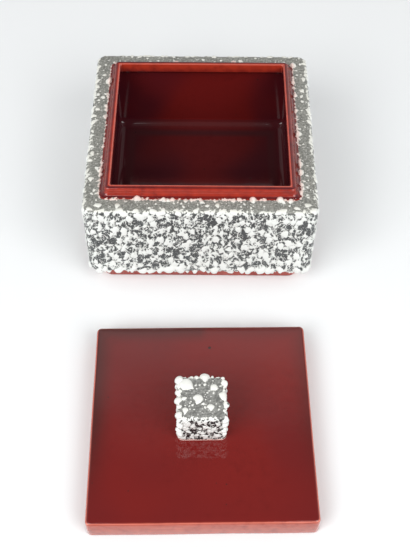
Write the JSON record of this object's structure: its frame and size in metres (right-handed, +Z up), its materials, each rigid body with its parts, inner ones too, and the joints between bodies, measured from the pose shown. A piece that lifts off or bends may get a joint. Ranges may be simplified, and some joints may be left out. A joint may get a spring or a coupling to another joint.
{
  "type": "ceramic box",
  "caption": "Square thick-walled ceramic box, white crawled glaze over charcoal outside and red glaze inside, with a low collar round its mouth; a flat red lid with a cube knob lies beside it.",
  "frame": {"origin": "centre of the foot's underside, on the table", "axes": "+Z up; the taken-off lid lies towards -Y, the front, with +X to the right seen from there"},
  "size_m": [0.14, 0.3069, 0.0756],
  "materials": {
    "speckled_glaze": "white glaze crawled into raised clots and beads over a satin charcoal ground",
    "red_glaze": "glossy oxblood red glaze, thinner and more orange along the edges"
  },
  "bodies": {
    "box": {"foot_slab": "red_glaze", "floor_slab": "speckled_glaze", "wall_front": "speckled_glaze", "wall_right": "speckled_glaze", "wall_back": "speckled_glaze", "wall_left": "speckled_glaze", "floor_coil_front": "red_glaze", "floor_coil_right": "red_glaze", "floor_coil_back": "red_glaze", "floor_coil_left": "red_glaze", "corner_coil_back_right": "red_glaze", "corner_coil_back_left": "red_glaze", "corner_coil_front_left": "red_glaze", "corner_coil_front_right": "red_glaze", "shoulder_front": "speckled_glaze", "shoulder_right": "speckled_glaze", "shoulder_back": "speckled_glaze", "shoulder_left": "speckled_glaze", "collar_front": "red_glaze", "collar_right": "red_glaze", "collar_back": "red_glaze", "collar_left": "red_glaze"},
    "lid": {"lid_plate": "red_glaze", "lid_rim_front": "red_glaze", "lid_rim_right": "red_glaze", "lid_rim_back": "red_glaze", "lid_rim_left": "red_glaze", "knob": "speckled_glaze"}
  },
  "joints": [
    {"name": "lid_lift", "type": "slide", "parent": "box", "child": "lid", "axis": [0, 0, 1], "range_m": [0, 0.12]}
  ]
}
